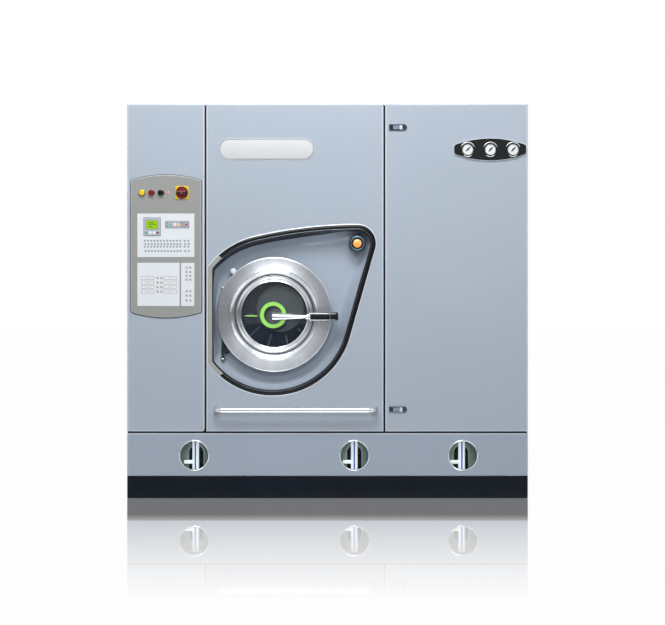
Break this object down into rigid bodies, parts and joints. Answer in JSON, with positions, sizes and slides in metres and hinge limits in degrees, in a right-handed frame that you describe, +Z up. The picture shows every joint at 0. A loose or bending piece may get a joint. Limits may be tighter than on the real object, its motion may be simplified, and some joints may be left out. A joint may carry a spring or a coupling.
{
  "type": "dry cleaning machine",
  "caption": "Front-loading closed-circuit dry cleaning machine: steel cabinet, round glazed loading door in a drop-shaped recess, control column, service door, drum and solvent plant.",
  "frame": {"origin": "on the floor, under the middle of the cabinet's width and depth", "axes": "+X to the viewer's right, +Y from the front to the back, +Z up"},
  "size_m": [2.005, 1.5375, 2.02],
  "materials": {
    "spill_pan": "satin",
    "frame_posts": "satin",
    "frame_rails": "satin",
    "side_panels": "satin",
    "back_panel": "satin",
    "top_panel": "satin",
    "lower_panel": "satin",
    "window_rims": "polished",
    "window_glasses": "clear",
    "level_gauges": "clear",
    "solvent_tanks": "brushed",
    "front_panel": "satin",
    "recess_dish": "satin",
    "recess_trim": "gloss",
    "lamp_housing": "gloss",
    "door_hinge_bracket": "satin",
    "grab_rail": "polished",
    "casing": "brushed",
    "casing_mouth": "brushed",
    "bearing_housing": "matte",
    "drive_belt": "matte",
    "drive_motor": "satin",
    "air_box": "brushed",
    "fan_housing": "satin",
    "fan_motor": "satin",
    "still": "brushed",
    "solvent_filter": "brushed",
    "solvent_pump": "satin",
    "compressor": "satin",
    "pipework": "satin",
    "electrical_box": "matte",
    "panel_hinges": "brushed",
    "drum": "brushed",
    "drum_shaft": "brushed",
    "drum_pulley": "matte",
    "motor_pulley": "matte",
    "fan_rotor": "satin",
    "door_ring": "polished",
    "door_glass": "clear",
    "door_seal": "matte",
    "door_hinge_arms": "brushed",
    "handle_mount": "satin",
    "door_handle": "polished",
    "handle_grip": "satin",
    "lamp_button": "gloss",
    "control_door": "satin",
    "control_bezel": "satin",
    "control_keypads": "satin",
    "yellow_button": "gloss",
    "red_button": "gloss",
    "black_button": "gloss",
    "main_switch": "gloss",
    "service_door": "satin",
    "gauge_plate": "gloss",
    "left_needle": "matte",
    "middle_needle": "matte",
    "right_needle": "matte",
    "latch_housings": "polished",
    "upper_latch": "brushed",
    "lower_latch": "brushed"
  },
  "bodies": {
    "cabinet": {"spill_pan": "spill_pan", "frame_posts": "frame_posts", "frame_rails": "frame_rails", "side_panels": "side_panels", "back_panel": "back_panel", "top_panel": "top_panel", "lower_panel": "lower_panel", "window_rims": "window_rims", "window_glasses": "window_glasses", "level_gauges": "level_gauges", "solvent_tanks": "solvent_tanks", "front_panel": "front_panel", "recess_dish": "recess_dish", "recess_trim": "recess_trim", "lamp_housing": "lamp_housing", "door_hinge_bracket": "door_hinge_bracket", "grab_rail": "grab_rail", "casing": "casing", "casing_mouth": "casing_mouth", "bearing_housing": "bearing_housing", "drive_belt": "drive_belt", "drive_motor": "drive_motor", "air_box": "air_box", "fan_housing": "fan_housing", "fan_motor": "fan_motor", "still": "still", "solvent_filter": "solvent_filter", "solvent_pump": "solvent_pump", "compressor": "compressor", "pipework": "pipework", "electrical_box": "electrical_box", "panel_hinges": "panel_hinges"},
    "drum_group": {"drum": "drum", "drum_shaft": "drum_shaft", "drum_pulley": "drum_pulley"},
    "motor_group": {"motor_pulley": "motor_pulley"},
    "fan_group": {"fan_rotor": "fan_rotor"},
    "loading_door": {"door_ring": "door_ring", "door_glass": "door_glass", "door_seal": "door_seal", "door_hinge_arms": "door_hinge_arms", "handle_mount": "handle_mount"},
    "door_lever": {"door_handle": "door_handle", "handle_grip": "handle_grip"},
    "lamp_push": {"lamp_button": "lamp_button"},
    "control_column": {"control_door": "control_door", "control_bezel": "control_bezel", "control_keypads": "control_keypads"},
    "yellow_push": {"yellow_button": "yellow_button"},
    "red_push": {"red_button": "red_button"},
    "black_push": {"black_button": "black_button"},
    "switch_knob": {"main_switch": "main_switch"},
    "service_cover": {"service_door": "service_door", "gauge_plate": "gauge_plate", "latch_housings": "latch_housings"},
    "left_pointer": {"left_needle": "left_needle"},
    "middle_pointer": {"middle_needle": "middle_needle"},
    "right_pointer": {"right_needle": "right_needle"},
    "top_paddle": {"upper_latch": "upper_latch"},
    "bottom_paddle": {"lower_latch": "lower_latch"}
  },
  "joints": [
    {"name": "loading_door_swing", "type": "hinge", "parent": "cabinet", "child": "loading_door", "pos_m": [-0.527, -0.668, 0.9175], "axis": [0, 0, -1], "range_deg": [0, 93]},
    {"name": "door_lever_pull", "type": "hinge", "parent": "loading_door", "child": "door_lever", "pos_m": [0.0275, -0.755, 0.911], "axis": [0, 0, 1], "range_deg": [0, 45]},
    {"name": "lamp_button_press", "type": "slide", "parent": "cabinet", "child": "lamp_push", "axis": [0, 1, 0], "range_m": [0, 0.005], "stiffness_N_per_m": 800},
    {"name": "control_door_swing", "type": "hinge", "parent": "cabinet", "child": "control_column", "pos_m": [-0.9905, -0.713, 1.151], "axis": [0, 0, -1], "range_deg": [0, 100]},
    {"name": "yellow_button_press", "type": "slide", "parent": "control_column", "child": "yellow_push", "axis": [0, 1, 0], "range_m": [0, 0.004], "stiffness_N_per_m": 600},
    {"name": "red_button_press", "type": "slide", "parent": "control_column", "child": "red_push", "axis": [0, 1, 0], "range_m": [0, 0.004], "stiffness_N_per_m": 600},
    {"name": "black_button_press", "type": "slide", "parent": "control_column", "child": "black_push", "axis": [0, 1, 0], "range_m": [0, 0.004], "stiffness_N_per_m": 600},
    {"name": "main_switch_turn", "type": "hinge", "parent": "control_column", "child": "switch_knob", "pos_m": [-0.726, -0.74, 1.5275], "axis": [0, 1, 0], "range_deg": [0, 90]},
    {"name": "service_door_swing", "type": "hinge", "parent": "cabinet", "child": "service_cover", "pos_m": [0.9905, -0.713, 1.151], "axis": [0, 0, 1], "range_deg": [0, 100]},
    {"name": "left_needle_turn", "type": "hinge", "parent": "service_cover", "child": "left_pointer", "pos_m": [0.69975, -0.737, 1.743], "axis": [0, -1, 0], "range_deg": [-90, 180]},
    {"name": "middle_needle_turn", "type": "hinge", "parent": "service_cover", "child": "middle_pointer", "pos_m": [0.813, -0.737, 1.743], "axis": [0, -1, 0], "range_deg": [-90, 180]},
    {"name": "right_needle_turn", "type": "hinge", "parent": "service_cover", "child": "right_pointer", "pos_m": [0.92625, -0.737, 1.743], "axis": [0, -1, 0], "range_deg": [-90, 180]},
    {"name": "upper_latch_pull", "type": "hinge", "parent": "service_cover", "child": "top_paddle", "pos_m": [0.374, -0.7285, 1.854], "axis": [0, 0, 1], "range_deg": [0, 60], "stiffness_Nm_per_rad": 0.05},
    {"name": "lower_latch_pull", "type": "hinge", "parent": "service_cover", "child": "bottom_paddle", "pos_m": [0.374, -0.7285, 0.444], "axis": [0, 0, 1], "range_deg": [0, 60], "stiffness_Nm_per_rad": 0.05},
    {"name": "drum_spin", "type": "hinge", "parent": "cabinet", "child": "drum_group", "pos_m": [-0.2675, 0, 0.9175], "axis": [0, 1, 0], "continuous": true},
    {"name": "motor_spin", "type": "hinge", "parent": "cabinet", "child": "motor_group", "pos_m": [0.06, 0.25, 0.482], "axis": [0, 1, 0], "continuous": true},
    {"name": "fan_spin", "type": "hinge", "parent": "cabinet", "child": "fan_group", "pos_m": [0.23, -0.3, 1.66], "axis": [0, 1, 0], "continuous": true}
  ],
  "couplings": [
    {"joint": "motor_spin", "follows": "drum_spin", "ratio": 3.6667}
  ]
}
